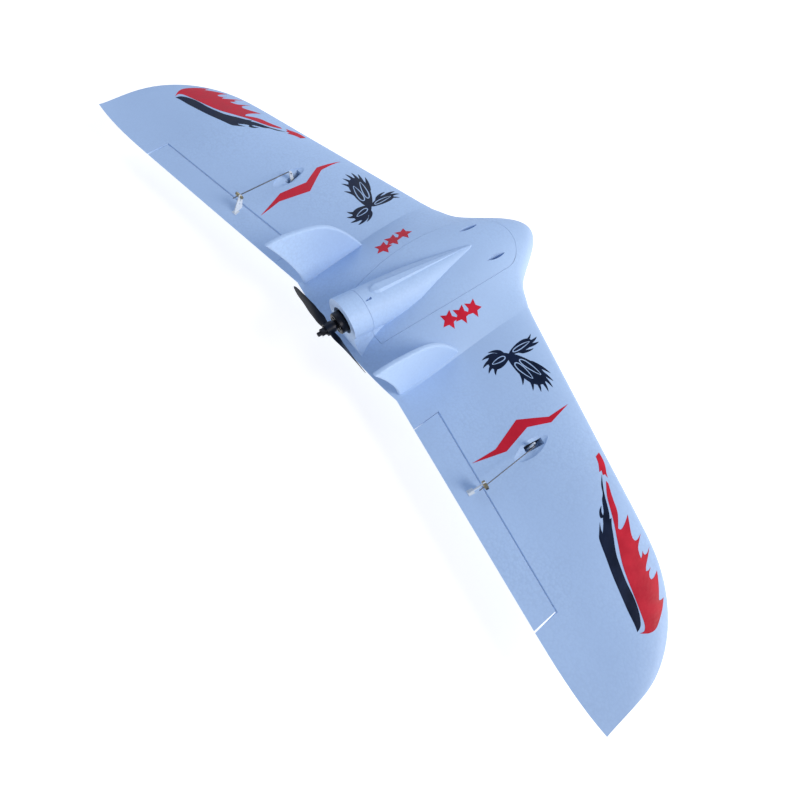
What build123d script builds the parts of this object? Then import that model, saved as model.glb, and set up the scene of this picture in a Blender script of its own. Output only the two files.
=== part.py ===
"""Foam flying wing model aircraft: a blended centre body, two plug-on wing panels, two fins, two elevons
with their servos and pushrods, a lift-off hatch and a pusher motor with a two-blade propeller.

Frame: X along the span (left wing +X), Y along the length (nose -Y), Z up. The origin is in the plane of
the belly, midway along the length and the span. Millimetres.
"""
import os
from math import atan2, cos, degrees, exp, pi, radians, sin, tan

from build123d import *

os.makedirs("parts", exist_ok=True)

# ---------------------------------------------------------------- driving dimensions
SPAN = 1020
LENGTH = 380
HALF_SPAN = SPAN / 2

ROOT_X = 104  # joint face between the centre body and a wing panel
ROOT_LE_Y = -88  # leading edge at the joint face
LE_SLOPE = 0.3196  # leading edge sweep, mm back for each mm outboard
TE_SLOPE = 0.159  # trailing edge sweep
ROOT_TE_Y = 133  # trailing edge at the joint face
TIP_START_X = 395  # where the rounded tip begins
TIP_LE_SETBACK = 92  # how far the rounded tip falls behind the straight leading edge
TIP_ONSET = 2.4  # higher keeps the leading edge straight for longer
TIP_ROUNDNESS = 0.526  # lower turns the corner more sharply
ROOT_FILLET = 4.5  # how far the leading edge is filled out where the nose runs into the wing
ROOT_FILLET_X = 84
ROOT_FILLET_WIDTH = 16
TIP_TE_SETBACK = 7.6  # how far the trailing corner is pulled forward
TIP_RISE = 4  # upward curl of the tip

WING_Z = 45  # height of the wing's chord line above the belly
NOSE_Z = 31  # height of the nose point
BODY_TE_Y = 140  # trailing edge of the centre body on the centre line
NOSE_BULGE = 85.4  # length of nose ahead of the smooth line joining the two leading edges
NOSE_FULLNESS = 2.8  # higher is a narrower nose
TOP_FULLNESS = 2.4  # higher carries the body's crown further outboard
BELLY_FULLNESS = 3.0

# Wing section: station along the chord, height of the upper and lower surface, all as parts of the chord
WING_SECTION = [
    (0.01, 0.018, -0.013),
    (0.05, 0.040, -0.027),
    (0.12, 0.057, -0.037),
    (0.23, 0.066, -0.044),
    (0.38, 0.060, -0.047),
    (0.55, 0.042, -0.041),
    (0.70, 0.024, -0.029),
    (0.84, 0.012, -0.015),
]
TE_HALF = 0.5  # half thickness of the blunt trailing edge
TIP_THINNING = 0.4  # share of the thickness ratio lost along the rounded tip
TIP_EDGE_THINNING = 0.35  # further share lost at its very edge

# Centre line of the body at the same stations: height of the crown and of the belly
CROWN = [43, 55.5, 64, 72, 78.5, 79, 73.5, 63]
BELLY = [20, 7, -3, -5, -5, -5, -4, 9]

# Spine fairing and motor pod
SPINE_TIP_Y = -66
POD_REAR_Y = 132
POD_RADIUS = 25
SPINE_SLOPE = 0.131  # rise of the ridge towards the tail
SPINE_TIP_Z = 80
POD_SEAM_Y = 106  # joint between the hatch and the fixed pod
THRUST_Z = 80  # height of the propeller axis

# Equipment bay and hatch
BAY_HALF_WIDTH = 34
BAY_FRONT_Y = -118
BAY_REAR_Y = 48
BAY_FLOOR_Z = 10
HATCH_Z = 54  # seat plane of the hatch
HATCH_FRONT_Y = -135
HATCH_SHOULDER = (47, -88)
HATCH_WIDEST = (50, 4)
HATCH_REAR_HALF = 38
HATCH_GAP = 0.4

# Elevon hinge, on the left wing
HINGE_IN = (146.0, 103.9)
HINGE_OUT = (396.0, 148.4)
HINGE_Z = 46.0
ELEVON_GAP_IN = 0.8
ELEVON_GAP_OUT = 2.2
HINGE_CLEAR = 0.5
BEVEL = 32  # slope of the elevon's front faces, degrees from upright

# Control linkage
HORN_X = 246
LINK_RADIUS = 14  # servo arm and horn have the same radius
ROD_LENGTH = 76  # between the arm's hole and the horn's hole
ROD_RADIUS = 0.6
SERVO_AXIS_Z = 47.0
ROD_OFFSET = 3.2  # the rod runs this far outboard of the arm and horn

# Propeller
PROP_RADIUS = 69.85
PROP_PITCH = 114.3
PROP_Y = 151  # middle of the hub


# ---------------------------------------------------------------- shape of the foam
def tip_fraction(x):
    return min(1.0, max(0.0, (abs(x) - TIP_START_X) / (HALF_SPAN - TIP_START_X)))


def leading_edge(x):
    """Y of the leading edge at span station x."""
    x = abs(x)
    fillet = ROOT_FILLET * exp(-(((x - ROOT_FILLET_X) / ROOT_FILLET_WIDTH) ** 2))
    if x < ROOT_X:
        smooth = ROOT_LE_Y - LE_SLOPE * (ROOT_X**2 - x**2) / (2 * ROOT_X)
        return smooth - fillet - NOSE_BULGE * cos(pi * x / (2 * ROOT_X)) ** NOSE_FULLNESS
    rounding = 1 - (1 - tip_fraction(x) ** TIP_ONSET) ** TIP_ROUNDNESS
    return ROOT_LE_Y + LE_SLOPE * (x - ROOT_X) - fillet + TIP_LE_SETBACK * rounding


def trailing_edge(x):
    """Y of the trailing edge at span station x."""
    x = abs(x)
    if x < ROOT_X:
        return ROOT_TE_Y + (BODY_TE_Y - ROOT_TE_Y) * crown_share(x)
    return ROOT_TE_Y + TE_SLOPE * (x - ROOT_X) - TIP_TE_SETBACK * tip_fraction(x) ** 3


def crown_share(x):
    return 1 - (abs(x) / ROOT_X) ** TOP_FULLNESS


def belly_share(x):
    return 1 - (abs(x) / ROOT_X) ** BELLY_FULLNESS


def section_points(x):
    """Points (y, z) of the section at x, from the upper trailing edge round the nose to the lower one."""
    front, rear = leading_edge(x), trailing_edge(x)
    chord = rear - front
    middle = WING_Z + TIP_RISE * tip_fraction(x) ** 2
    if abs(x) < ROOT_X:
        wing_chord = ROOT_TE_Y - ROOT_LE_Y
        top, low = crown_share(x), belly_share(x)
    else:
        wing_chord = chord
        top = low = 0
    thickness = 1 - TIP_THINNING * tip_fraction(x) - TIP_EDGE_THINNING * tip_fraction(x) ** 8
    upper, lower = [], []
    for (station, high, deep), crown, belly in zip(WING_SECTION, CROWN, BELLY):
        y = front + station * chord
        upper.append((y, (1 - top) * (middle + high * thickness * wing_chord) + top * crown))
        lower.append((y, (1 - low) * (middle + deep * thickness * wing_chord) + low * belly))
    nose = (front, (1 - top) * middle + top * NOSE_Z)
    tail_up = (rear, middle + TE_HALF)
    tail_down = (rear, middle - TE_HALF)
    return [tail_up] + upper[::-1] + [nose] + lower + [tail_down]


def foam_section(x):
    """Face of the foam section at span station x."""
    points = section_points(x)
    with BuildSketch(Plane.YZ.offset(x)) as sketch:
        with BuildLine():
            Spline(*points)
            Line(points[-1], points[0])
        make_face()
    return sketch


def finish(builder, name):
    """Label a finished piece and write it out."""
    builder.part.label = name
    export_step(builder.part, f"parts/{name}.step")


def finish_pair(builder, name):
    """Write a left-hand piece and its mirror image."""
    finish(builder, f"left_{name}")
    with BuildPart() as twin:
        mirror(builder.part, about=Plane.YZ)
    finish(twin, f"right_{name}")


# ---------------------------------------------------------------- hinge line and linkage frame
SWEEP = degrees(atan2(HINGE_OUT[1] - HINGE_IN[1], HINGE_OUT[0] - HINGE_IN[0]))
HINGE_AXIS = Vector(cos(radians(SWEEP)), sin(radians(SWEEP)), 0)
HINGE_BACK = Vector(-sin(radians(SWEEP)), cos(radians(SWEEP)), 0)
HORN_Y = HINGE_IN[1] + (HORN_X - HINGE_IN[0]) * tan(radians(SWEEP))
HORN_FOOT = Vector(HORN_X, HORN_Y, HINGE_Z)
HORN_HOLE = HORN_FOOT + Vector(0, 0, LINK_RADIUS)
SERVO_AXIS = Vector(HORN_X, HORN_Y - ROD_LENGTH, SERVO_AXIS_Z)
ARM_HOLE = SERVO_AXIS + Vector(0, 0, LINK_RADIUS)


def hinge_plane(origin):
    """Upright plane square to the hinge: local x is rearward, local y is up, normal is outboard."""
    return Plane(origin=origin, x_dir=HINGE_BACK, z_dir=HINGE_AXIS)


def chordwise_slab(x_from, x_to):
    """Upright slab across the whole chord between two span stations."""
    return Pos((x_from + x_to) / 2, 0, WING_Z) * Box(x_to - x_from, 2 * LENGTH, 2 * ELEVON_DEPTH)


HINGE_OVERRUN = 30  # the cutting shapes run past both ends of the hinge
HINGE_START = Vector(HINGE_IN[0], HINGE_IN[1], HINGE_Z) - HINGE_AXIS * HINGE_OVERRUN
HINGE_RUN = (HINGE_OUT[0] - HINGE_IN[0]) / cos(radians(SWEEP)) + 2 * HINGE_OVERRUN
BEVEL_RISE = 12
BEVEL_RUN = BEVEL_RISE * tan(radians(BEVEL))
ELEVON_DEPTH = 70
EDGE_CLEAR = 0.25

# ---------------------------------------------------------------- foam blanks
INNER_STATIONS = [ROOT_X, 118, 134, 152, 176, 210, 260, 325]
TIP_STATIONS = [TIP_START_X, 428, 453, 472, 487, 498, 505, 508.8, HALF_SPAN]
BODY_STATIONS = [-ROOT_X, -97, -86, -72, -56, -38, -19, 0, 19, 38, 56, 72, 86, 97, ROOT_X]
BELLY_CUT = 30  # foam below the flat of the belly, trimmed away

with BuildPart() as wing_blank:
    for station in INNER_STATIONS + TIP_STATIONS:
        add(foam_section(station).sketch)
    loft()

with BuildPart() as body_blank:
    for station in BODY_STATIONS:
        add(foam_section(station).sketch)
    loft()
    with BuildSketch(Plane.XY):
        Rectangle(SPAN, 2 * LENGTH)
    extrude(amount=-BELLY_CUT, mode=Mode.SUBTRACT)


def ridge_z(y):
    return SPINE_TIP_Z + SPINE_SLOPE * (y - SPINE_TIP_Y)


SPINE_GROWTH = 100  # distance behind the tip where the fairing reaches its full radius
SPINE_STATIONS = [SPINE_TIP_Y, -58, -45, -28, -5, 15, SPINE_TIP_Y + SPINE_GROWTH]


def spine_ring(y):
    """Round section of the spine fairing, hung from its ridge."""
    share = min(1.0, (y - SPINE_TIP_Y + 0.8) / SPINE_GROWTH)
    radius = POD_RADIUS * share**0.7
    with BuildSketch(Plane.XZ.offset(-y)) as ring:
        with Locations((0, ridge_z(y) - radius)):
            Circle(radius)
    return ring


with BuildPart() as spine_blank:
    for station in SPINE_STATIONS:
        add(spine_ring(station).sketch)
    loft()
    add(spine_ring(SPINE_STATIONS[-1]).sketch)
    add(spine_ring(POD_REAR_Y).sketch)
    loft(ruled=True)

# Raised rib along the ridge: station, half width of its flat top and of its foot, height above the ridge
RIB_SECTIONS = [(-60, 0.3, 0.8, 0.3), (-20, 1.4, 3.4, 1.2), (30, 2.9, 6.1, 1.9), (82, 4.5, 8.5, 2.3)]
RIB_END_SECTIONS = [(82, 4.5, 8.5, 2.3), (88, 3.2, 6.6, 1.5), (92, 1.2, 3.4, 0.2)]
RIB_ROOT = 3.5  # how far the rib's foot reaches below the ridge


def rib_section(y, top_half, foot_half, height):
    """Section of the rib, a flat top between sloping flanks."""
    with BuildSketch(Plane.XZ.offset(-y)) as section:
        with Locations((0, ridge_z(y))):
            Polygon(
                (-foot_half, -RIB_ROOT),
                (foot_half, -RIB_ROOT),
                (top_half, height),
                (-top_half, height),
                align=None,
            )
    return section


with BuildPart() as ridge_rib:
    for sections in (RIB_SECTIONS, RIB_END_SECTIONS):
        for section in sections:
            add(rib_section(*section).sketch)
        loft(ruled=True)

# Foot of the pod: where it starts; x and z where it leaves the body, at its waist and where it meets the pod
POD_FOOT_FRONT_Y = 62
POD_FOOT_LOW = (40, 47)
POD_FOOT_WAIST = (27, 54)
POD_FOOT_HIGH = (21, 72)
with BuildPart() as pod_foot:
    with BuildSketch(Plane.XZ.offset(-POD_REAR_Y)):
        with BuildLine():
            ThreePointArc(POD_FOOT_LOW, POD_FOOT_WAIST, POD_FOOT_HIGH)
            Line(POD_FOOT_HIGH, (0, POD_FOOT_HIGH[1]))
            Line((0, POD_FOOT_HIGH[1]), (0, POD_FOOT_LOW[1]))
            Line((0, POD_FOOT_LOW[1]), POD_FOOT_LOW)
        make_face()
        mirror(about=Plane.YZ)
    extrude(amount=POD_REAR_Y - POD_FOOT_FRONT_Y)

with BuildPart() as centre_body:
    add(body_blank.part)
    add(spine_blank.part)
    add(ridge_rib.part)
    add(pod_foot.part)

# ---------------------------------------------------------------- fins
FIN_X = 98
FIN_THICK = 6
FIN_EDGE_RADIUS = 2.2
FIN_FRONT = [(158, 120.5), (137, 121), (113, 117.5), (92, 112), (77, 104), (63, 92), (49, 76), (31, 50)]
FIN_FOOT = [(31, 50), (38, 46.8), (124, 43.6), (127, 45)]
ROOT_FREE_Z = 60  # edges above this stand clear of the body
FIN_REAR = [(127, 45), (128.5, 57), (133, 71), (143, 94), (158, 120.5)]
with BuildPart() as left_fin:
    with BuildSketch(Plane.YZ.offset(FIN_X - FIN_THICK / 2)):
        with BuildLine():
            Spline(*FIN_FRONT)
            Polyline(*FIN_FOOT)
            Spline(*FIN_REAR)
        make_face()
    extrude(amount=FIN_THICK)
    fin_faces = left_fin.faces().filter_by(Axis.X)
    fillet(fin_faces.edges().filter_by(lambda edge: edge.center().Z > ROOT_FREE_Z), radius=FIN_EDGE_RADIUS)
finish_pair(left_fin, "fin")

# ---------------------------------------------------------------- servo and linkage sizes
SERVO_WIDTH = 12.2
SERVO_LENGTH = 22.8
SERVO_HEIGHT = 22.6
SERVO_CORNER = 0.8
SERVO_BOSS_RADIUS = 5.7
SERVO_BOSS_HEIGHT = 1.2
SHAFT_FROM_END = 6.0
SERVO_GAP = 3.2  # from the top of the case to the middle of the arm
EAR_LENGTH = 32.2
EAR_THICK = 2.4
EAR_HEIGHT = 15.9
EAR_HOLE_PITCH = 27.8
EAR_HOLE_RADIUS = 1
CASE_MIDDLE = SHAFT_FROM_END - SERVO_LENGTH / 2  # rearward of the shaft
OUTPUT_RADIUS = 1.45
ARM_THICK = 1.6
ARM_BORE = 1.5
ARM_HUB_RADIUS = 3.4
ARM_TIP_RADIUS = 2.3
ARM_HOLE_RADIUS = 0.7

# Leaf-shaped hollow in the wing's top round the slot for the servo arm
WELL_MIDDLE = Vector(HORN_X + 2, HORN_Y - ROD_LENGTH + 3.5, 61.8)
WELL_HALF_LENGTH = 27
WELL_HALF_WIDTH = 9.8
WELL_FLOOR_RADII = (14, 36, 9.5)
WELL_TILT = -5.7
SLOT_LENGTH = 24
SLOT_SHIFT = -2.7  # the slot reaches further forward of the arm than behind it
SLOT_FLOOR = 6
SLOT_IN = 3.6
SLOT_OUT = 4.6
COVER_Z = 36.4
COVER_THICK = 1.2
COVER_LENGTH = 42
COVER_WIDTH = 36
COVER_CORNER = 4
COVER_HOLE_INSET = 3.5
COVER_HOLE_RADIUS = 0.8
COVER_SHIFT = (-14, -5)  # middle of the cover from the servo's axis

servo_case_middle = SERVO_AXIS + HINGE_BACK * CASE_MIDDLE - HINGE_AXIS * (SERVO_GAP + SERVO_HEIGHT / 2)
ear_from_top = SERVO_HEIGHT - EAR_HEIGHT - EAR_THICK / 2
servo_ear_middle = SERVO_AXIS + HINGE_BACK * CASE_MIDDLE - HINGE_AXIS * (SERVO_GAP + ear_from_top)
cover_middle = Vector(HORN_X + COVER_SHIFT[0], SERVO_AXIS.Y + COVER_SHIFT[1], 0)
servo_plane = hinge_plane(SERVO_AXIS)
horn_hole_plane = hinge_plane(HORN_HOLE)
horn_foot_plane = hinge_plane(HORN_FOOT)

# ---------------------------------------------------------------- hinge strips and servos
STRIP_INSET = 4
STRIP_WIDTH = 2.88
STRIP_THICK = 0.7
STRIP_MIDDLE = -1.56  # forward of the hinge line
with BuildPart() as left_hinge_strip:
    with BuildSketch(hinge_plane(HINGE_START + HINGE_AXIS * (HINGE_OVERRUN + STRIP_INSET))):
        with Locations((STRIP_MIDDLE, 0)):
            Rectangle(STRIP_WIDTH, STRIP_THICK)
    extrude(amount=HINGE_RUN - 2 * HINGE_OVERRUN - 2 * STRIP_INSET)
finish_pair(left_hinge_strip, "hinge_strip")

with BuildPart() as left_servo:
    with BuildSketch(servo_plane.offset(-SERVO_GAP)):
        with Locations((CASE_MIDDLE, 0)):
            RectangleRounded(SERVO_LENGTH, SERVO_WIDTH, SERVO_CORNER)
    extrude(amount=-SERVO_HEIGHT)
    with BuildSketch(servo_plane.offset(-SERVO_GAP - SERVO_HEIGHT + EAR_HEIGHT)):
        with Locations((CASE_MIDDLE, 0)):
            Rectangle(EAR_LENGTH, SERVO_WIDTH)
            with GridLocations(EAR_HOLE_PITCH, 0, 2, 1):
                Circle(EAR_HOLE_RADIUS, mode=Mode.SUBTRACT)
    extrude(amount=EAR_THICK)
    with BuildSketch(servo_plane.offset(-SERVO_GAP)):
        Circle(SERVO_BOSS_RADIUS)
    extrude(amount=SERVO_BOSS_HEIGHT)
    with BuildSketch(servo_plane.offset(-SERVO_GAP)):
        Circle(OUTPUT_RADIUS)
    extrude(amount=SERVO_GAP)
finish_pair(left_servo, "servo")

with BuildPart() as left_servo_cover:
    with BuildSketch(Plane.XY.offset(COVER_Z)):
        with Locations(Location(cover_middle, (0, 0, SWEEP))):
            RectangleRounded(COVER_WIDTH, COVER_LENGTH, COVER_CORNER)
            hole_pitch_x = COVER_WIDTH - 2 * COVER_HOLE_INSET
            with GridLocations(hole_pitch_x, COVER_LENGTH - 2 * COVER_HOLE_INSET, 2, 2):
                Circle(COVER_HOLE_RADIUS, mode=Mode.SUBTRACT)
    extrude(amount=COVER_THICK)
finish_pair(left_servo_cover, "servo_cover")

LEAD_RADIUS = 1.3
LEAD_Z = 43.9
LEAD_Y = SERVO_AXIS.Y - 4
LEAD_FROM_X = HORN_X - SERVO_GAP - SERVO_HEIGHT
# The lead's bends in the centre body, down to the receiver, and the radius of each bend
LEAD_BENDS = [(44, LEAD_Y, LEAD_Z), (30, 36, 32), (28, 27, 15.5), (18, 27, 15.5)]
LEAD_BEND_RADII = [8, 7, 4]
with BuildPart() as left_servo_lead:
    with BuildLine():
        FilletPolyline((LEAD_FROM_X, LEAD_Y, LEAD_Z), *LEAD_BENDS, radius=LEAD_BEND_RADII)
    with BuildSketch(Plane.YZ.offset(LEAD_FROM_X)):
        with Locations((LEAD_Y, LEAD_Z)):
            Circle(LEAD_RADIUS)
    sweep()
finish_pair(left_servo_lead, "servo_lead")

# ---------------------------------------------------------------- fuselage and hatch
SPAR_Y = 4
SPAR_Z = 47
SPAR_RADIUS = 4
SPAR_BORE = 3
SPAR_HALF = 290
PIN_Y = -48
PIN_Z = 47
PIN_RADIUS = 2
PIN_FROM_X = 84
PIN_TO_X = 134
MAGNET_RADIUS = 4
MAGNET_THICK = 2
MAGNET_SPOTS = [(-40, -76), (40, -76), (-24, 62), (24, 62)]
FIREWALL_Y = 112
FIREWALL_RADIUS = 16
FIREWALL_THICK = 3
WIRE_HOLE_RADIUS = 3.5
WIRE_Z = 68.4


def hatch_outline(inset):
    """Plan of the hatch: round front, slightly bowed sides that close in towards the pod."""
    with BuildSketch(Plane.XY.offset(HATCH_Z)) as sketch:
        with BuildLine():
            x_side, y_side = HATCH_SHOULDER
            x_wide, y_wide = HATCH_WIDEST
            ThreePointArc((x_side, y_side), (0, HATCH_FRONT_Y), (-x_side, y_side))
            ThreePointArc((-x_side, y_side), (-x_wide, y_wide), (-HATCH_REAR_HALF, POD_SEAM_Y))
            Line((-HATCH_REAR_HALF, POD_SEAM_Y), (HATCH_REAR_HALF, POD_SEAM_Y))
            ThreePointArc((HATCH_REAR_HALF, POD_SEAM_Y), (x_wide, y_wide), (x_side, y_side))
        make_face()
        if inset:
            offset(amount=-inset, mode=Mode.REPLACE)
    return sketch


with BuildPart() as spar_core:
    with BuildSketch(Plane.YZ.offset(-SPAR_HALF)):
        with Locations((SPAR_Y, SPAR_Z)):
            Circle(SPAR_RADIUS)
    extrude(amount=2 * SPAR_HALF)

with BuildPart() as wing_spar_tube:
    with BuildSketch(Plane.YZ.offset(-SPAR_HALF)):
        with Locations((SPAR_Y, SPAR_Z)):
            Circle(SPAR_RADIUS)
            Circle(SPAR_BORE, mode=Mode.SUBTRACT)
    extrude(amount=2 * SPAR_HALF)
finish(wing_spar_tube, "wing_spar_tube")

with BuildPart() as wing_dowels:
    for side in (-1, 1):
        with BuildSketch(Plane.YZ.offset(side * PIN_FROM_X)):
            with Locations((PIN_Y, PIN_Z)):
                Circle(PIN_RADIUS)
        extrude(amount=side * (PIN_TO_X - PIN_FROM_X))
finish(wing_dowels, "wing_dowels")

with BuildPart() as bay_magnets:
    with BuildSketch(Plane.XY.offset(HATCH_Z)):
        with Locations(*MAGNET_SPOTS):
            Circle(MAGNET_RADIUS)
    extrude(amount=-MAGNET_THICK)
finish(bay_magnets, "bay_magnets")

with BuildPart() as hatch_magnets:
    with BuildSketch(Plane.XY.offset(HATCH_Z + HATCH_GAP)):
        with Locations(*MAGNET_SPOTS):
            Circle(MAGNET_RADIUS)
    extrude(amount=MAGNET_THICK)
finish(hatch_magnets, "hatch_magnets")

DUCT_HALF = 9
DUCT_DEPTH = 7
DUCT_SHIFT = -6  # the duct's middle sits ahead of midway between the bay and the pod
BAY_CORNER = 12
ABOVE_HATCH = 100  # tall enough to reach past the whole hatch
FIREWALL_CUT = 5  # the motor's recess is cut this far past the pod's rear
with BuildPart() as fuselage:
    add(centre_body.part)
    add(hatch_outline(0).sketch)
    extrude(amount=ABOVE_HATCH, mode=Mode.SUBTRACT)
    with BuildSketch(Plane.XY.offset(BAY_FLOOR_Z)):
        with Locations((0, (BAY_FRONT_Y + BAY_REAR_Y) / 2)):
            RectangleRounded(2 * BAY_HALF_WIDTH, BAY_REAR_Y - BAY_FRONT_Y, BAY_CORNER)
    extrude(amount=HATCH_Z - BAY_FLOOR_Z, mode=Mode.SUBTRACT)
    with BuildSketch(Plane.XY.offset(HATCH_Z)):
        with Locations((0, (BAY_REAR_Y + POD_SEAM_Y) / 2 + DUCT_SHIFT)):
            Rectangle(2 * DUCT_HALF, POD_SEAM_Y - BAY_REAR_Y)
    extrude(amount=-DUCT_DEPTH, mode=Mode.SUBTRACT)
    with BuildSketch(Plane.XZ.offset(-POD_REAR_Y - FIREWALL_CUT)):
        with Locations((0, THRUST_Z)):
            Circle(FIREWALL_RADIUS)
    extrude(amount=POD_REAR_Y + FIREWALL_CUT - FIREWALL_Y, mode=Mode.SUBTRACT)
    with BuildSketch(Plane.XZ.offset(-POD_REAR_Y)):
        with Locations((0, WIRE_Z)):
            Circle(WIRE_HOLE_RADIUS)
    extrude(amount=POD_REAR_Y - POD_SEAM_Y + FIREWALL_CUT, mode=Mode.SUBTRACT)
    add(spar_core.part, mode=Mode.SUBTRACT)
    add(wing_dowels.part, mode=Mode.SUBTRACT)
    add(bay_magnets.part, mode=Mode.SUBTRACT)
    for inserted in (left_fin.part, left_servo_lead.part):
        add(inserted, mode=Mode.SUBTRACT)
        mirror(inserted, about=Plane.YZ, mode=Mode.SUBTRACT)
finish(fuselage, "fuselage")

# Pockets under the hatch: half width, front, rear, roof
HATCH_POCKETS = [(32, -106, -58, 61), (26, -58, 44, 68), (13, 0, 107, 78)]

# Air intake: an almond-shaped opening whose floor slopes down to its rear end
INTAKE_X = 28
INTAKE_FRONT_Y = -103
INTAKE_REAR_Y = -70
INTAKE_HALF_WIDTH = 2.7
INTAKE_FLOOR_TILT = 27
INTAKE_FLOOR_Z = 70
LATCH_SLOT = Vector(-7.4, 99.5, 97.8)
LATCH_SLOT_LENGTH = 9
LATCH_SLOT_WIDTH = 3

with BuildPart() as intakes:
    for side in (-1, 1):
        with BuildSketch(Plane.XY.offset(HATCH_Z)):
            with BuildLine():
                intake_middle = (INTAKE_FRONT_Y + 2 * INTAKE_REAR_Y) / 3
                front = (side * INTAKE_X, INTAKE_FRONT_Y)
                rear = (side * INTAKE_X, INTAKE_REAR_Y)
                Spline(front, (side * INTAKE_X + INTAKE_HALF_WIDTH, intake_middle), rear)
                Spline(rear, (side * INTAKE_X - INTAKE_HALF_WIDTH, intake_middle), front)
            make_face()
        extrude(amount=LENGTH / 8)
    split(
        bisect_by=Plane((0, INTAKE_FRONT_Y, INTAKE_FLOOR_Z)).rotated((-INTAKE_FLOOR_TILT, 0, 0)),
        keep=Keep.TOP,
    )

with BuildPart() as hatch:
    add(centre_body.part)
    add(hatch_outline(HATCH_GAP).sketch)
    extrude(amount=ABOVE_HATCH, mode=Mode.INTERSECT)
    with BuildSketch(Plane.XY.offset(HATCH_Z)):
        Rectangle(SPAN, 2 * LENGTH)
    extrude(amount=HATCH_GAP, mode=Mode.SUBTRACT)
    for half, front, rear, roof in HATCH_POCKETS:
        with BuildSketch(Plane.XY.offset(HATCH_Z)):
            with Locations((0, (front + rear) / 2)):
                Rectangle(2 * half, rear - front)
        extrude(amount=roof - HATCH_Z, mode=Mode.SUBTRACT)
    add(intakes.part, mode=Mode.SUBTRACT)
    with BuildSketch(Plane.XY.offset(LATCH_SLOT.Z)):
        with Locations((LATCH_SLOT.X, LATCH_SLOT.Y)):
            SlotOverall(LATCH_SLOT_LENGTH, LATCH_SLOT_WIDTH, rotation=90)
    extrude(amount=LATCH_SLOT_WIDTH, mode=Mode.SUBTRACT)
    add(hatch_magnets.part, mode=Mode.SUBTRACT)
finish(hatch, "hatch")

# ---------------------------------------------------------------- wing panels
panel_bay_slab = chordwise_slab(HINGE_IN[0] - ELEVON_GAP_IN, HINGE_OUT[0] + ELEVON_GAP_OUT)
elevon_slab = chordwise_slab(HINGE_IN[0], HINGE_OUT[0])

with BuildPart() as elevon_bay:
    with BuildSketch(hinge_plane(HINGE_START)):
        with BuildLine():
            Polyline(
                (-HINGE_CLEAR, -BEVEL_RISE),
                (-HINGE_CLEAR, STRIP_THICK / 2 + 0.05),
                (-HINGE_CLEAR - BEVEL_RUN, BEVEL_RISE),
                (ELEVON_DEPTH, BEVEL_RISE),
                (ELEVON_DEPTH, -BEVEL_RISE),
                close=True,
            )
        make_face()
    extrude(amount=HINGE_RUN)
    add(panel_bay_slab, mode=Mode.INTERSECT)

POCKET_DEPTH = 40
COVER_RECESS = 10
with BuildPart() as servo_pocket:
    with BuildSketch(Plane.XY.offset(SERVO_AXIS_Z + SERVO_WIDTH / 2)):
        with Locations(Location(servo_case_middle, (0, 0, SWEEP))):
            Rectangle(SERVO_HEIGHT, SERVO_LENGTH)
        with Locations(Location(servo_ear_middle, (0, 0, SWEEP))):
            Rectangle(EAR_THICK, EAR_LENGTH)
    extrude(amount=-POCKET_DEPTH)
    with BuildSketch(servo_plane.offset(-SLOT_IN)):
        with Locations((SLOT_SHIFT, LINK_RADIUS - SLOT_FLOOR)):
            Rectangle(SLOT_LENGTH, 2 * LINK_RADIUS)
    extrude(amount=SLOT_IN + SLOT_OUT)
    with BuildSketch(Plane.XY.offset(COVER_Z + COVER_THICK)):
        with Locations(Location(cover_middle, (0, 0, SWEEP))):
            RectangleRounded(COVER_WIDTH, COVER_LENGTH, COVER_CORNER)
    extrude(amount=-COVER_RECESS)

well_floor = Pos(*WELL_MIDDLE) * Rot(WELL_TILT, 0, 0) * scale(Sphere(1), by=WELL_FLOOR_RADII)
with BuildPart() as servo_well:
    with BuildSketch(Plane.XY.offset(HINGE_Z)):
        with BuildLine():
            well_front = (WELL_MIDDLE.X, WELL_MIDDLE.Y - WELL_HALF_LENGTH)
            well_rear = (WELL_MIDDLE.X, WELL_MIDDLE.Y + WELL_HALF_LENGTH)
            ThreePointArc(well_front, (WELL_MIDDLE.X + WELL_HALF_WIDTH, WELL_MIDDLE.Y), well_rear)
            ThreePointArc(well_rear, (WELL_MIDDLE.X - WELL_HALF_WIDTH, WELL_MIDDLE.Y), well_front)
        make_face()
    extrude(amount=WELL_MIDDLE.Z - HINGE_Z)
    add(well_floor, mode=Mode.INTERSECT)

with BuildPart() as left_wing:
    add(wing_blank.part)
    add(servo_well.part, mode=Mode.SUBTRACT)
    add(elevon_bay.part, mode=Mode.SUBTRACT)
    add(servo_pocket.part, mode=Mode.SUBTRACT)
    add(spar_core.part, mode=Mode.SUBTRACT)
    add(wing_dowels.part, mode=Mode.SUBTRACT)
    add(left_hinge_strip.part, mode=Mode.SUBTRACT)
    add(left_servo_lead.part, mode=Mode.SUBTRACT)
finish_pair(left_wing, "wing")

# ---------------------------------------------------------------- control horn and elevon
HORN_THICK = 1.4
HORN_HOLE_RADIUS = 1.1
FLANGE_LENGTH = 15
FLANGE_WIDTH = 7
FLANGE_MIDDLE = 11
FLANGE_THICK = 1.4
FLANGE_LOW = -0.6
TAB_DEPTH = 2.0
HORN_REAR_HOLES = [(3, LINK_RADIUS - 3.6), (5.6, LINK_RADIUS - 6.4)]
HORN_REAR_HOLE_RADIUS = 0.7
# Outline of the horn's blade, from its front foot over the hole to its rear foot
HORN_OUTLINE = [
    (5, FLANGE_LOW - TAB_DEPTH),
    (5, 0),
    (-2.4, LINK_RADIUS - 1),
    (-1.6, LINK_RADIUS + 2.2),
    (1.8, LINK_RADIUS + 2.4),
    (17, 2),
    (16, FLANGE_LOW - TAB_DEPTH),
]

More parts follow.
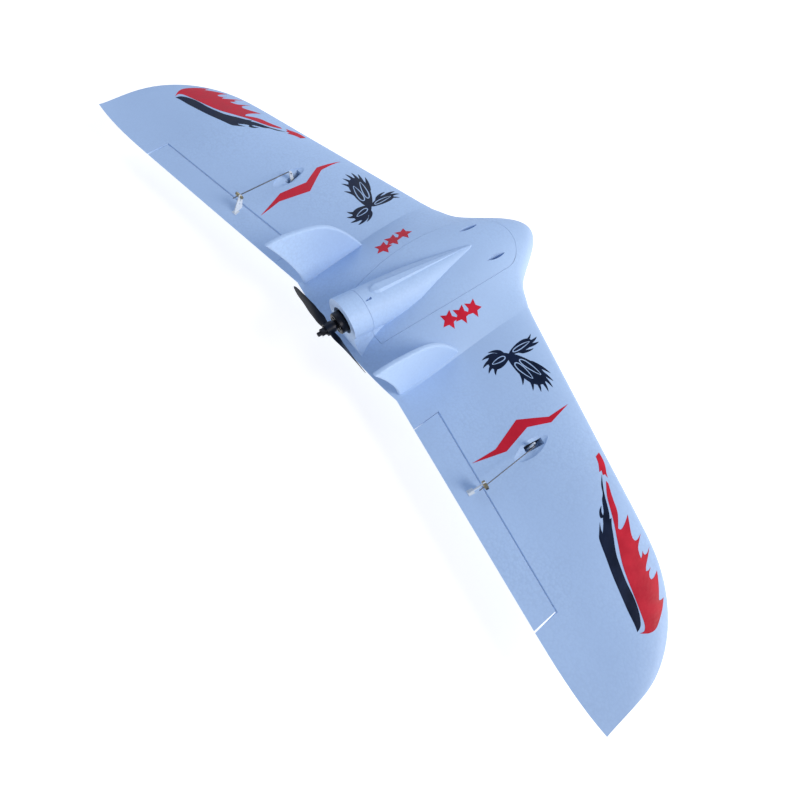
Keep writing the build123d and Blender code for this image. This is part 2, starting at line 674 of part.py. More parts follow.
with BuildPart() as left_control_horn:
    with BuildSketch(horn_foot_plane.offset(-HORN_THICK / 2)):
        with BuildLine():
            Polyline(*HORN_OUTLINE, close=True)
        make_face()
        with Locations((0, LINK_RADIUS)):
            Circle(HORN_HOLE_RADIUS, mode=Mode.SUBTRACT)
        with Locations(*HORN_REAR_HOLES):
            Circle(HORN_REAR_HOLE_RADIUS, mode=Mode.SUBTRACT)
    extrude(amount=HORN_THICK)
    with BuildSketch(horn_foot_plane.offset(-FLANGE_WIDTH / 2)):
        with Locations((FLANGE_MIDDLE, FLANGE_LOW + FLANGE_THICK / 2)):
            Rectangle(FLANGE_LENGTH, FLANGE_THICK)
    extrude(amount=FLANGE_WIDTH)
finish_pair(left_control_horn, "control_horn")

with BuildPart() as left_elevon:
    add(wing_blank.part)
    add(elevon_slab, mode=Mode.INTERSECT)
    with BuildSketch(hinge_plane(HINGE_START)):
        with BuildLine():
            Polyline(
                (EDGE_CLEAR, 0),
                (EDGE_CLEAR + BEVEL_RUN, BEVEL_RISE),
                (ELEVON_DEPTH, BEVEL_RISE),
                (ELEVON_DEPTH, -BEVEL_RISE),
                (EDGE_CLEAR + BEVEL_RUN, -BEVEL_RISE),
                close=True,
            )
        make_face()
    extrude(amount=HINGE_RUN, mode=Mode.INTERSECT)
    add(left_control_horn.part, mode=Mode.SUBTRACT)
finish_pair(left_elevon, "elevon")

# ---------------------------------------------------------------- servo arm, pushrod and its clamp
ARM_ROOT_HALF = 2.8
SPARE_HOLE_RADIUS = 0.5
SPARE_HOLE_PITCH = 3
with BuildPart() as left_servo_arm:
    with BuildSketch(servo_plane.offset(-ARM_THICK / 2)):
        Circle(ARM_HUB_RADIUS)
        with Locations((0, LINK_RADIUS)):
            Circle(ARM_TIP_RADIUS)
        with BuildLine():
            Polyline(
                (-ARM_ROOT_HALF, 0),
                (ARM_ROOT_HALF, 0),
                (ARM_TIP_RADIUS, LINK_RADIUS),
                (-ARM_TIP_RADIUS, LINK_RADIUS),
                close=True,
            )
        make_face()
        Circle(ARM_BORE, mode=Mode.SUBTRACT)
        with Locations((0, LINK_RADIUS)):
            Circle(ARM_HOLE_RADIUS, mode=Mode.SUBTRACT)
        with Locations((0, LINK_RADIUS - SPARE_HOLE_PITCH), (0, LINK_RADIUS - 2 * SPARE_HOLE_PITCH)):
            Circle(SPARE_HOLE_RADIUS, mode=Mode.SUBTRACT)
    extrude(amount=ARM_THICK)
finish_pair(left_servo_arm, "servo_arm")

ARM_SCREW_RADIUS = 2.0
ARM_SCREW_HEAD = 1.0
CROSS_LENGTH = 2.6
CROSS_WIDTH = 0.6
CROSS_DEPTH = 0.5
with BuildPart() as left_arm_screw:
    with BuildSketch(servo_plane.offset(ARM_THICK / 2)):
        Circle(ARM_SCREW_RADIUS)
    extrude(amount=ARM_SCREW_HEAD)
    with BuildSketch(servo_plane.offset(ARM_THICK / 2 + ARM_SCREW_HEAD)):
        Rectangle(CROSS_LENGTH, CROSS_WIDTH)
        Rectangle(CROSS_WIDTH, CROSS_LENGTH)
    extrude(amount=-CROSS_DEPTH, mode=Mode.SUBTRACT)
finish_pair(left_arm_screw, "arm_screw")

ROD_TAIL = 9
BEND_RADIUS = 1.5
ROD_TOE = 2.4  # the bent end comes this far through the arm
bend_start = ARM_HOLE - HINGE_AXIS * ROD_TOE
bend_corner = ARM_HOLE + HINGE_AXIS * ROD_OFFSET
rod_direction = (HORN_HOLE - ARM_HOLE).normalized()
rod_end = HORN_HOLE + HINGE_AXIS * ROD_OFFSET + rod_direction * ROD_TAIL
with BuildPart() as left_pushrod:
    with BuildLine():
        FilletPolyline(bend_start, bend_corner, rod_end, radius=BEND_RADIUS)
    with BuildSketch(Plane(origin=bend_start, z_dir=HINGE_AXIS)):
        Circle(ROD_RADIUS)
    sweep()
finish_pair(left_pushrod, "pushrod")

BARREL_RADIUS = 2.4
BARREL_IN = 1.0
BARREL_OUT = 6.6
PIVOT_RADIUS = 1.0
SCREW_RADIUS = 1.3
PIVOT_REACH = 2.9  # the pivot comes this far past the middle of the horn
PIVOT_CAP_RADIUS = 2.1
PIVOT_CAP_FROM = 2.6
PIVOT_CAP_THICK = 1.6
SCREW_TIP = ROD_OFFSET + ROD_RADIUS + 0.3  # the rod crosses at the sweep angle
CROSSING_HALF = 10
rod_middle = HORN_HOLE + HINGE_AXIS * ROD_OFFSET
rod_crossing = Plane(origin=rod_middle - rod_direction * CROSSING_HALF, z_dir=rod_direction)
with BuildPart() as left_rod_clamp:
    with BuildSketch(horn_hole_plane.offset(BARREL_IN)):
        Circle(BARREL_RADIUS)
    extrude(amount=BARREL_OUT - BARREL_IN)
    with BuildSketch(horn_hole_plane.offset(-PIVOT_REACH)):
        Circle(PIVOT_RADIUS)
    extrude(amount=BARREL_IN + PIVOT_REACH)
    with BuildSketch(horn_hole_plane.offset(-PIVOT_CAP_FROM)):
        Circle(PIVOT_CAP_RADIUS)
    extrude(amount=PIVOT_CAP_THICK)
    with BuildSketch(rod_crossing):
        Circle(ROD_RADIUS)
    extrude(amount=2 * CROSSING_HALF, mode=Mode.SUBTRACT)
    with BuildSketch(horn_hole_plane.offset(SCREW_TIP)):
        Circle(SCREW_RADIUS)
    extrude(amount=BARREL_OUT, mode=Mode.SUBTRACT)
finish_pair(left_rod_clamp, "rod_clamp")

HEAD_FROM = BARREL_OUT + 0.2
HEAD_RADIUS = 1.9
HEAD_THICK = 1.3
SOCKET_RADIUS = 0.9
SOCKET_DEPTH = 0.8
with BuildPart() as left_clamp_screw:
    with BuildSketch(horn_hole_plane.offset(SCREW_TIP)):
        Circle(SCREW_RADIUS)
    extrude(amount=HEAD_FROM - SCREW_TIP)
    with BuildSketch(horn_hole_plane.offset(HEAD_FROM)):
        Circle(HEAD_RADIUS)
    extrude(amount=HEAD_THICK)
    with BuildSketch(horn_hole_plane.offset(HEAD_FROM + HEAD_THICK)):
        RegularPolygon(SOCKET_RADIUS, 6)
    extrude(amount=-SOCKET_DEPTH, mode=Mode.SUBTRACT)
finish_pair(left_clamp_screw, "clamp_screw")

# ---------------------------------------------------------------- motor
SCREW_PITCH_RADIUS = 9.5
MOUNT_SCREW_RADIUS = 1.25
BASE_Y = FIREWALL_Y + FIREWALL_THICK
BASE_THICK = 3
TUBE_END_Y = 138
TUBE_RADIUS = 4
BEARING_RADIUS = 3
BEARING_THICK = 3
SHAFT_RADIUS = 1.5
SHAFT_CLEAR = 0.05
STATOR_FROM_Y = 122
STATOR_TO_Y = 133
TOOTH_RADIUS = 8.8
SHOE_RADIUS = 9.6
TOOTH_COUNT = 9
MAGNET_COUNT = 12
BELL_RADIUS = 12.4
BELL_INNER = 11.2
BELL_FROM_Y = 120.5
BELL_TO_Y = 141
BELL_CAP = 2.5
BELL_VENT_RADIUS = 7.9
BELL_VENT = (5.4, 3.2)
BELL_CHAMFER = 1.2
BASE_HUB_RADIUS = 6.5
BASE_ARM_WIDTH = 6
BASE_LUG_RADIUS = 3
TUBE_CLEAR = 0.5
MOUNT_HEAD_RADIUS = 2.3
MOUNT_HEAD_THICK = 1.5
SLOT_OPENING = (4, 2)
TOOTH_WIDTH = 1.8
TOOTH_OVERLAP = 0.8
STATOR_HUB_RADIUS = TUBE_RADIUS + 1.6
WINDING_OVERHANG = 1.0
WINDING_WIDTH = 3.4
WINDING_SHORTER = 2.6
WINDING_CORNER = 0.4
ROTOR_MAGNET_THICK = 1.1
ROTOR_MAGNET_OVERHANG = 0.5
ROTOR_MAGNET_GAP = (4, 1.4)
SHAFT_INSET = 0.4


def thrust_plane(y):
    """Plane square to the propeller axis at y, facing the tail."""
    return Plane(origin=(0, y, THRUST_Z), x_dir=(-1, 0, 0), z_dir=(0, 1, 0))


with BuildPart() as motor_firewall:
    with BuildSketch(thrust_plane(FIREWALL_Y)):
        Circle(FIREWALL_RADIUS)
        with PolarLocations(SCREW_PITCH_RADIUS, 4, start_angle=45):
            Circle(MOUNT_SCREW_RADIUS, mode=Mode.SUBTRACT)
        with Locations((0, WIRE_Z - THRUST_Z)):
            Circle(WIRE_HOLE_RADIUS, mode=Mode.SUBTRACT)
    extrude(amount=FIREWALL_THICK)
finish(motor_firewall, "motor_firewall")

with BuildPart() as motor_base:
    with BuildSketch(thrust_plane(BASE_Y)):
        Circle(BASE_HUB_RADIUS)
        with PolarLocations(SCREW_PITCH_RADIUS / 2, 4, start_angle=45):
            Rectangle(SCREW_PITCH_RADIUS, BASE_ARM_WIDTH)
        with PolarLocations(SCREW_PITCH_RADIUS, 4, start_angle=45):
            Circle(BASE_LUG_RADIUS)
            Circle(MOUNT_SCREW_RADIUS, mode=Mode.SUBTRACT)
    extrude(amount=BASE_THICK)
    with BuildSketch(thrust_plane(BASE_Y)):
        Circle(TUBE_RADIUS)
    extrude(amount=TUBE_END_Y - BASE_Y)
    with BuildSketch(thrust_plane(BASE_Y)):
        Circle(SHAFT_RADIUS + TUBE_CLEAR)
    extrude(amount=TUBE_END_Y - BASE_Y, mode=Mode.SUBTRACT)
    for seat in (BASE_Y, TUBE_END_Y - BEARING_THICK):
        with BuildSketch(thrust_plane(seat)):
            Circle(BEARING_RADIUS)
        extrude(amount=BEARING_THICK, mode=Mode.SUBTRACT)
finish(motor_base, "motor_base")

with BuildPart() as motor_bearings:
    for seat in (BASE_Y, TUBE_END_Y - BEARING_THICK):
        with BuildSketch(thrust_plane(seat)):
            Circle(BEARING_RADIUS)
            Circle(SHAFT_RADIUS + SHAFT_CLEAR, mode=Mode.SUBTRACT)
        extrude(amount=BEARING_THICK)
finish(motor_bearings, "motor_bearings")

with BuildPart() as motor_screws:
    with BuildSketch(thrust_plane(FIREWALL_Y)):
        with PolarLocations(SCREW_PITCH_RADIUS, 4, start_angle=45):
            Circle(MOUNT_SCREW_RADIUS)
    extrude(amount=FIREWALL_THICK + BASE_THICK)
    with BuildSketch(thrust_plane(BASE_Y + BASE_THICK)):
        with PolarLocations(SCREW_PITCH_RADIUS, 4, start_angle=45):
            Circle(MOUNT_HEAD_RADIUS)
    extrude(amount=MOUNT_HEAD_THICK)
finish(motor_screws, "motor_screws")

with BuildPart() as motor_stator:
    with BuildSketch(thrust_plane(STATOR_FROM_Y)):
        Circle(SHOE_RADIUS)
        Circle(TOOTH_RADIUS, mode=Mode.SUBTRACT)
        with PolarLocations(SHOE_RADIUS, TOOTH_COUNT, start_angle=180 / TOOTH_COUNT):
            Rectangle(*SLOT_OPENING, mode=Mode.SUBTRACT)
        with PolarLocations((TOOTH_RADIUS + TUBE_RADIUS + TOOTH_OVERLAP) / 2, TOOTH_COUNT):
            Rectangle(TOOTH_RADIUS - TUBE_RADIUS + TOOTH_OVERLAP, TOOTH_WIDTH)
        Circle(STATOR_HUB_RADIUS)
        Circle(TUBE_RADIUS, mode=Mode.SUBTRACT)
    extrude(amount=STATOR_TO_Y - STATOR_FROM_Y)
finish(motor_stator, "motor_stator")

with BuildPart() as motor_windings:
    with BuildSketch(thrust_plane(STATOR_FROM_Y - WINDING_OVERHANG)):
        with PolarLocations((STATOR_HUB_RADIUS + TOOTH_RADIUS) / 2, TOOTH_COUNT):
            RectangleRounded(TOOTH_RADIUS - TUBE_RADIUS - WINDING_SHORTER, WINDING_WIDTH, WINDING_CORNER)
    extrude(amount=STATOR_TO_Y - STATOR_FROM_Y + 2 * WINDING_OVERHANG)
    add(motor_stator.part, mode=Mode.SUBTRACT)
finish(motor_windings, "motor_windings")

with BuildPart() as motor_bell:
    with BuildSketch(thrust_plane(BELL_FROM_Y)):
        Circle(BELL_RADIUS)
    extrude(amount=BELL_TO_Y - BELL_FROM_Y)
    chamfer(motor_bell.faces().sort_by(Axis.Y)[-1].edges(), length=BELL_CHAMFER)
    with BuildSketch(thrust_plane(BELL_FROM_Y)):
        Circle(BELL_INNER)
    extrude(amount=BELL_TO_Y - BELL_CAP - BELL_FROM_Y, mode=Mode.SUBTRACT)
    with BuildSketch(thrust_plane(BELL_TO_Y)):
        Circle(SHAFT_RADIUS)
        with PolarLocations(BELL_VENT_RADIUS, 6):
            SlotOverall(*BELL_VENT, rotation=90)
    extrude(amount=-BELL_CAP, mode=Mode.SUBTRACT)
finish(motor_bell, "motor_bell")

with BuildPart() as motor_magnets:
    with BuildSketch(thrust_plane(STATOR_FROM_Y - ROTOR_MAGNET_OVERHANG)):
        Circle(BELL_INNER)
        Circle(BELL_INNER - ROTOR_MAGNET_THICK, mode=Mode.SUBTRACT)
        with PolarLocations(BELL_INNER, MAGNET_COUNT):
            Rectangle(*ROTOR_MAGNET_GAP, mode=Mode.SUBTRACT)
    extrude(amount=STATOR_TO_Y - STATOR_FROM_Y + 2 * ROTOR_MAGNET_OVERHANG)
finish(motor_magnets, "motor_magnets")

SHAFT_END_Y = 150
with BuildPart() as motor_shaft:
    with BuildSketch(thrust_plane(BASE_Y + SHAFT_INSET)):
        Circle(SHAFT_RADIUS)
    extrude(amount=SHAFT_END_Y - BASE_Y - SHAFT_INSET)
finish(motor_shaft, "motor_shaft")

# ---------------------------------------------------------------- propeller and its fixing
HUB_RADIUS = 7
HUB_THICK = 8
HUB_FROM_Y = PROP_Y - HUB_THICK / 2
STUD_RADIUS = 2.5
STUD_END_Y = 166
WASHER_THICK = 1.2
WASHER_RADIUS = 5.2
NUT_THICK = 5
NUT_RADIUS = 4.6
COLLET_RADIUS = 5.2
COLLET_THICK = 3.5
FLANGE_RADIUS = 6.6
STUD_CHAMFER = 0.6

with BuildPart() as prop_adapter:
    with BuildSketch(thrust_plane(BELL_TO_Y)):
        Circle(COLLET_RADIUS)
    extrude(amount=COLLET_THICK)
    with BuildSketch(thrust_plane(BELL_TO_Y + COLLET_THICK)):
        Circle(FLANGE_RADIUS)
    extrude(amount=HUB_FROM_Y - BELL_TO_Y - COLLET_THICK)
    with BuildSketch(thrust_plane(HUB_FROM_Y)):
        Circle(STUD_RADIUS)
    extrude(amount=STUD_END_Y - HUB_FROM_Y)
    chamfer(prop_adapter.faces().sort_by(Axis.Y)[-1].edges(), length=STUD_CHAMFER)
    with BuildSketch(thrust_plane(BELL_TO_Y)):
        Circle(SHAFT_RADIUS)
    extrude(amount=SHAFT_END_Y - BELL_TO_Y, mode=Mode.SUBTRACT)
finish(prop_adapter, "prop_adapter")

# Sections of the blade: radius, chord, thickness
BLADE = [
    (3, 9, 5.5),
    (9, 10, 3.6),
    (18, 12.5, 2.4),
    (30, 14, 1.9),
    (44, 13.2, 1.5),
    (57, 11, 1.2),
    (66, 7.5, 0.9),
    (PROP_RADIUS, 2.6, 0.6),
]
TWIST_FROM = 16  # the blade is twisted to the pitch outside this radius
with BuildPart() as blade:
    for radius, chord, thickness in BLADE:
        angle = degrees(atan2(PROP_PITCH, 2 * pi * max(radius, TWIST_FROM)))
        with BuildSketch(Plane(origin=(radius, PROP_Y, THRUST_Z), x_dir=(0, 0, 1), z_dir=(1, 0, 0))):
            with Locations(Location((0, 0, 0), (0, 0, angle))):
                Ellipse(chord / 2, thickness / 2)
    loft()

with BuildPart() as propeller:
    add(blade.part)
    add(blade.part.rotate(Axis((0, PROP_Y, THRUST_Z), (0, 1, 0)), 180))
    with BuildSketch(thrust_plane(HUB_FROM_Y)):
        Circle(HUB_RADIUS)
    extrude(amount=HUB_THICK)
    with BuildSketch(thrust_plane(HUB_FROM_Y)):
        Circle(STUD_RADIUS)
    extrude(amount=HUB_THICK, mode=Mode.SUBTRACT)
finish(propeller, "propeller")

with BuildPart() as prop_washer:
    with BuildSketch(thrust_plane(HUB_FROM_Y + HUB_THICK)):
        Circle(WASHER_RADIUS)
        Circle(STUD_RADIUS, mode=Mode.SUBTRACT)
    extrude(amount=WASHER_THICK)
finish(prop_washer, "prop_washer")

with BuildPart() as prop_nut:
    with BuildSketch(thrust_plane(HUB_FROM_Y + HUB_THICK + WASHER_THICK)):
        RegularPolygon(NUT_RADIUS, 6)
        Circle(STUD_RADIUS, mode=Mode.SUBTRACT)
    extrude(amount=NUT_THICK)
finish(prop_nut, "prop_nut")

# ---------------------------------------------------------------- equipment in the bay
BATTERY = (34, 75, 26)
BATTERY_Y = -74
BATTERY_Z = 11.6
STRAP_THICK = 1.2
STRAP_WIDTH = 18
CASE_CORNER = 2
STRAP_CORNER = 1.5
with BuildPart() as battery_pack:
    with BuildSketch(Plane.XY.offset(BATTERY_Z)):
        with Locations((0, BATTERY_Y)):
            RectangleRounded(BATTERY[0], BATTERY[1], CASE_CORNER)
    extrude(amount=BATTERY[2])
finish(battery_pack, "battery_pack")

with BuildPart() as battery_strap:
    with BuildSketch(Plane.XZ.offset(-BATTERY_Y - STRAP_WIDTH / 2)):
        with Locations((0, BATTERY_Z + BATTERY[2] / 2)):
            RectangleRounded(BATTERY[0] + 2 * STRAP_THICK, BATTERY[2] + 2 * STRAP_THICK, STRAP_CORNER)
            Rectangle(BATTERY[0], BATTERY[2], mode=Mode.SUBTRACT)
    extrude(amount=STRAP_WIDTH)
finish(battery_strap, "battery_strap")

ESC_Y = -17
ESC = (44, 22, 9)
with BuildPart() as speed_controller:
    with BuildSketch(Plane.XY.offset(BAY_FLOOR_Z)):
        with Locations((0, ESC_Y)):
            RectangleRounded(ESC[0], ESC[1], CASE_CORNER)
    extrude(amount=ESC[2])
finish(speed_controller, "speed_controller")

RECEIVER = (36, 22, 12)
RECEIVER_Y = 27
with BuildPart() as receiver:
    with BuildSketch(Plane.XY.offset(BAY_FLOOR_Z)):
        with Locations((0, RECEIVER_Y)):
            RectangleRounded(RECEIVER[0], RECEIVER[1], CASE_CORNER)
    extrude(amount=RECEIVER[2])
finish(receiver, "receiver")

PLUG = (16, 13, 8)
PLUG_Z = 26
PLUG_JOINT_Y = -20
PLUG_CORNER = 1.5
with BuildPart() as battery_plug:
    with BuildSketch(Plane.XY.offset(PLUG_Z)):
        with Locations((0, PLUG_JOINT_Y - PLUG[1] / 2)):
            RectangleRounded(PLUG[0], PLUG[1], PLUG_CORNER)
    extrude(amount=PLUG[2])
finish(battery_plug, "battery_plug")

with BuildPart() as controller_plug:
    with BuildSketch(Plane.XY.offset(PLUG_Z)):
        with Locations((0, PLUG_JOINT_Y + PLUG[1] / 2)):
            RectangleRounded(PLUG[0], PLUG[1], PLUG_CORNER)
    extrude(amount=PLUG[2])
finish(controller_plug, "controller_plug")

POWER_LEAD_RADIUS = 1.4
POWER_LEAD_X = 3.6
LEAD_FROM_JOINT = 7
battery_rear = BATTERY_Y + BATTERY[1] / 2
with BuildPart() as battery_leads:
    with BuildSketch(Plane.XZ.offset(-(PLUG_JOINT_Y - PLUG[1]))):
        with Locations((-POWER_LEAD_X, PLUG_Z + PLUG[2] / 2), (POWER_LEAD_X, PLUG_Z + PLUG[2] / 2)):
            Circle(POWER_LEAD_RADIUS)
    extrude(amount=PLUG_JOINT_Y - PLUG[1] - battery_rear)
finish(battery_leads, "battery_leads")

with BuildPart() as controller_leads:
    with BuildSketch(Plane.XY.offset(BAY_FLOOR_Z + ESC[2])):
        lead_y = PLUG_JOINT_Y + LEAD_FROM_JOINT
        with Locations((-POWER_LEAD_X, lead_y), (POWER_LEAD_X, lead_y)):
            Circle(POWER_LEAD_RADIUS)
    extrude(amount=PLUG_Z - BAY_FLOOR_Z - ESC[2])
finish(controller_leads, "controller_leads")

MOTOR_LEAD_RADIUS = 1.0
LANE_PITCH = 3.6
LANE_PITCH_AT_POD = 2.3
LANE_START_Z = 15
# Bends on the way up from the bay floor to the pod: y, z
LANE_BENDS = [(5, LANE_START_Z), (17, 28), (37, 41), (48, 50.4)]
LANE_POD_BENDS = [(97, WIRE_Z), (BASE_Y, WIRE_Z)]
LANE_DUCT_BEND = (3.2, 86, 51)
LANE_BEND_RADII = [8, 8, 8, 8, 10, 8]
with BuildPart() as motor_leads:
    for lane in (-1, 0, 1):
        esc_rear = (lane * LANE_PITCH, ESC_Y + ESC[1] / 2, LANE_START_Z)
        path = [esc_rear]
        path += [(lane * LANE_PITCH, y, z) for y, z in LANE_BENDS]
        path.append((lane * LANE_DUCT_BEND[0], LANE_DUCT_BEND[1], LANE_DUCT_BEND[2]))
        path += [(lane * LANE_PITCH_AT_POD, y, z) for y, z in LANE_POD_BENDS]
        with BuildLine():
            FilletPolyline(*path, radius=LANE_BEND_RADII)
        with BuildSketch(Plane(origin=esc_rear, z_dir=(0, 1, 0))):
            Circle(MOTOR_LEAD_RADIUS)
        sweep()
finish(motor_leads, "motor_leads")
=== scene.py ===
import math

import bpy
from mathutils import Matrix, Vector
from mathutils.bvhtree import BVHTree
from mathutils.geometry import delaunay_2d_cdt


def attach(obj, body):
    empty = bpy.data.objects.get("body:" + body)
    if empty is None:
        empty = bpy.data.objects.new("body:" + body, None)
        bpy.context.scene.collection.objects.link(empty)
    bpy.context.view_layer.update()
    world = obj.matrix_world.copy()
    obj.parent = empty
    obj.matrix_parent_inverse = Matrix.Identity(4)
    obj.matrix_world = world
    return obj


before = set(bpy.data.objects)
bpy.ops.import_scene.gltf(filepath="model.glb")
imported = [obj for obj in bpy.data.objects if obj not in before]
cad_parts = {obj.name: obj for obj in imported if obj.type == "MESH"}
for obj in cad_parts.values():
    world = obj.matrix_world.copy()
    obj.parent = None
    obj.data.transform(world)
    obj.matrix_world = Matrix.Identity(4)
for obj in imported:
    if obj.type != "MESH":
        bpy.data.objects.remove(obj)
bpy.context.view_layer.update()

MM = 0.001
SIDES = {"left": 1.0, "right": -1.0}
DOWN = Vector((0.0, 0.0, -1.0))


# ---------------------------------------------------------------- shader helpers

COAT_ROUGHNESS = 0.1
WAVES_PER_UNIT = 20.0  # how far the wave texture turns over a metre at a scale of 1, in radians


def new_material(name, colour, roughness, metallic=0.0, specular=0.5, coat=0.0):
    """A node material and its object coordinates. Even values sit on the shader's own sockets."""
    material = bpy.data.materials.new(name)
    material.use_nodes = True
    tree = material.node_tree
    shader = tree.nodes["Principled BSDF"]
    shader.inputs["Base Color"].default_value = (*colour, 1.0)
    shader.inputs["Roughness"].default_value = roughness
    shader.inputs["Metallic"].default_value = metallic
    shader.inputs["Specular IOR Level"].default_value = specular
    shader.inputs["Coat Weight"].default_value = coat
    shader.inputs["Coat Roughness"].default_value = COAT_ROUGHNESS
    place = tree.nodes.new("ShaderNodeTexCoord").outputs["Object"]
    return material, tree, shader, place


def stretched(tree, place, stretch):
    mapping = tree.nodes.new("ShaderNodeMapping")
    mapping.inputs["Scale"].default_value = stretch
    tree.links.new(place, mapping.inputs["Vector"])
    return mapping.outputs["Vector"]


def noise(tree, place, scale, detail, distortion=0.0):
    node = tree.nodes.new("ShaderNodeTexNoise")
    node.inputs["Scale"].default_value = scale
    node.inputs["Detail"].default_value = detail
    node.inputs["Distortion"].default_value = distortion
    tree.links.new(place, node.inputs["Vector"])
    return node.outputs["Fac"]


def bands(tree, place, spacing, direction, distortion):
    """Even bands across one direction, spacing apart in metres."""
    node = tree.nodes.new("ShaderNodeTexWave")
    node.wave_type = "BANDS"
    node.bands_direction = direction
    node.inputs["Scale"].default_value = 2.0 * math.pi / (WAVES_PER_UNIT * spacing)
    node.inputs["Distortion"].default_value = distortion
    tree.links.new(place, node.inputs["Vector"])
    return node.outputs["Fac"]


def remap(tree, value, low, high, to_low=0.0, to_high=1.0):
    node = tree.nodes.new("ShaderNodeMapRange")
    node.inputs["From Min"].default_value = low
    node.inputs["From Max"].default_value = high
    node.inputs["To Min"].default_value = to_low
    node.inputs["To Max"].default_value = to_high
    tree.links.new(value, node.inputs["Value"])
    return node.outputs["Result"]


def combine(tree, operation, a, b):
    """One math node; a and b are sockets or plain numbers."""
    node = tree.nodes.new("ShaderNodeMath")
    node.operation = operation
    for socket, value in zip(node.inputs, (a, b)):
        if isinstance(value, (int, float)):
            socket.default_value = value
        else:
            tree.links.new(value, socket)
    return node.outputs["Value"]


def blend_colours(tree, share, first, second):
    """first where share is 0, second where it is 1; a colour is a tuple or a socket."""
    node = tree.nodes.new("ShaderNodeMix")
    node.data_type = "RGBA"
    tree.links.new(share, node.inputs["Factor"])
    for socket, value in ((node.inputs[6], first), (node.inputs[7], second)):
        if isinstance(value, tuple):
            socket.default_value = (*value, 1.0)
        else:
            tree.links.new(value, socket)
    return node.outputs[2]


def relief(tree, shader, height, depth, strength, under=None):
    """Surface relief, depth in metres. under is the relief that this one lies on."""
    node = tree.nodes.new("ShaderNodeBump")
    node.inputs["Strength"].default_value = strength
    node.inputs["Distance"].default_value = depth
    tree.links.new(height, node.inputs["Height"])
    if under is not None:
        tree.links.new(under, node.inputs["Normal"])
    tree.links.new(node.outputs["Normal"], shader.inputs["Normal"])
    return node.outputs["Normal"]


def scaled(colour, factor):
    return tuple(min(1.0, c * factor) for c in colour)


# ---------------------------------------------------------------- foam and stickers

BEAD_SIZE = 3.0 * MM
BEAD_WOBBLE = 0.4 * BEAD_SIZE  # how far the beads depart from round
BEAD_SOFTNESS = 0.25
BEAD_DEPTH = 0.11 * MM
SPECKLE_DEPTH = 0.03 * MM
FILM_BEAD_DEPTH = 0.10 * MM
FOAM_COLOUR = (0.47, 0.62, 0.86)
VINYL_RED = (0.60, 0.013, 0.032)
VINYL_BLACK = (0.003, 0.008, 0.026)


def bead_pattern(tree, place):
    """Height of the moulded beads, a different number for each bead, and how plainly they show here."""
    wobble = tree.nodes.new("ShaderNodeVectorMath")
    wobble.operation = "ADD"
    swirl = tree.nodes.new("ShaderNodeTexNoise")
    swirl.inputs["Scale"].default_value = 0.5 / BEAD_SIZE
    tree.links.new(place, swirl.inputs["Vector"])
    small = tree.nodes.new("ShaderNodeVectorMath")
    small.operation = "SCALE"
    small.inputs["Scale"].default_value = BEAD_WOBBLE
    tree.links.new(swirl.outputs["Color"], small.inputs[0])
    tree.links.new(place, wobble.inputs[0])
    tree.links.new(small.outputs["Vector"], wobble.inputs[1])
    bead = tree.nodes.new("ShaderNodeTexVoronoi")
    bead.feature = "SMOOTH_F1"
    bead.inputs["Scale"].default_value = 1.0 / BEAD_SIZE
    bead.inputs["Smoothness"].default_value = BEAD_SOFTNESS
    tree.links.new(wobble.outputs["Vector"], bead.inputs["Vector"])
    tone = tree.nodes.new("ShaderNodeSeparateColor")
    tree.links.new(bead.outputs["Color"], tone.inputs["Color"])
    patches = noise(tree, place, 9.0, 3.0)
    shows = remap(tree, patches, 0.38, 0.66, 0.30, 1.0)
    return bead.outputs["Distance"], tone.outputs["Red"], shows


def foam(name, colour):
    """Moulded foam beads: each a little lighter or darker, with painted shade in the grooves between them."""
    material, tree, shader, place = new_material(name, colour, 0.55, specular=0.35)
    distance, tone, shows = bead_pattern(tree, place)
    cloud = noise(tree, place, 5.0, 4.0)
    speckle = noise(tree, place, 900.0, 2.0)
    base = blend_colours(tree, remap(tree, cloud, 0.3, 0.7), scaled(colour, 0.95), scaled(colour, 1.05))
    light = combine(tree, "MULTIPLY", remap(tree, tone, 0.25, 1.0), shows)
    base = blend_colours(tree, combine(tree, "MULTIPLY", light, 0.14), base, scaled(colour, 1.28))
    # painted shade: the colour darkens in the grooves between the beads, where the relief sinks
    painted_groove_shade = combine(tree, "MULTIPLY", remap(tree, distance, 0.42, 0.75), shows)
    base = blend_colours(tree, combine(tree, "MULTIPLY", painted_groove_shade, 0.20), base, scaled(colour, 0.74))
    tree.links.new(base, shader.inputs["Base Color"])
    tree.links.new(remap(tree, speckle, 0.3, 0.7, 0.46, 0.64), shader.inputs["Roughness"])
    dome = combine(tree, "MULTIPLY", remap(tree, distance, 0.05, 0.75, 1.0, 0.0), shows)
    beads = relief(tree, shader, dome, BEAD_DEPTH, 0.55)
    relief(tree, shader, speckle, SPECKLE_DEPTH, 0.6, beads)
    return material


def vinyl(name, colour, painted_sheen_colour):
    """Printed film, pressed down so that the beads under it show in the gloss, with lighter patches of
    painted sheen.
    """
    material, tree, shader, place = new_material(name, colour, 0.45, specular=0.16)
    distance, _, _ = bead_pattern(tree, place)
    # painted sheen: patches of a lighter film colour, and the same patches vary the roughness
    painted_sheen = noise(tree, place, 60.0, 4.0)
    base = blend_colours(tree, remap(tree, painted_sheen, 0.35, 0.75), colour, painted_sheen_colour)
    tree.links.new(base, shader.inputs["Base Color"])
    tree.links.new(remap(tree, painted_sheen, 0.3, 0.7, 0.34, 0.5), shader.inputs["Roughness"])
    relief(tree, shader, remap(tree, distance, 0.05, 0.75, 1.0, 0.0), FILM_BEAD_DEPTH, 0.5)
    return material


# ---------------------------------------------------------------- the other materials

LOWEST_ROUGHNESS = 0.05
PLASTIC_GRAIN_DEPTH = 0.02 * MM
TOOL_MARK_DEPTH = 0.01 * MM
FIBRE_DEPTH = 0.02 * MM
WOOD_GRAIN_DEPTH = 0.05 * MM
RIB_DEPTH = 0.06 * MM
WEAVE_DEPTH = 0.12 * MM
CREASE_DEPTH = 0.35 * MM


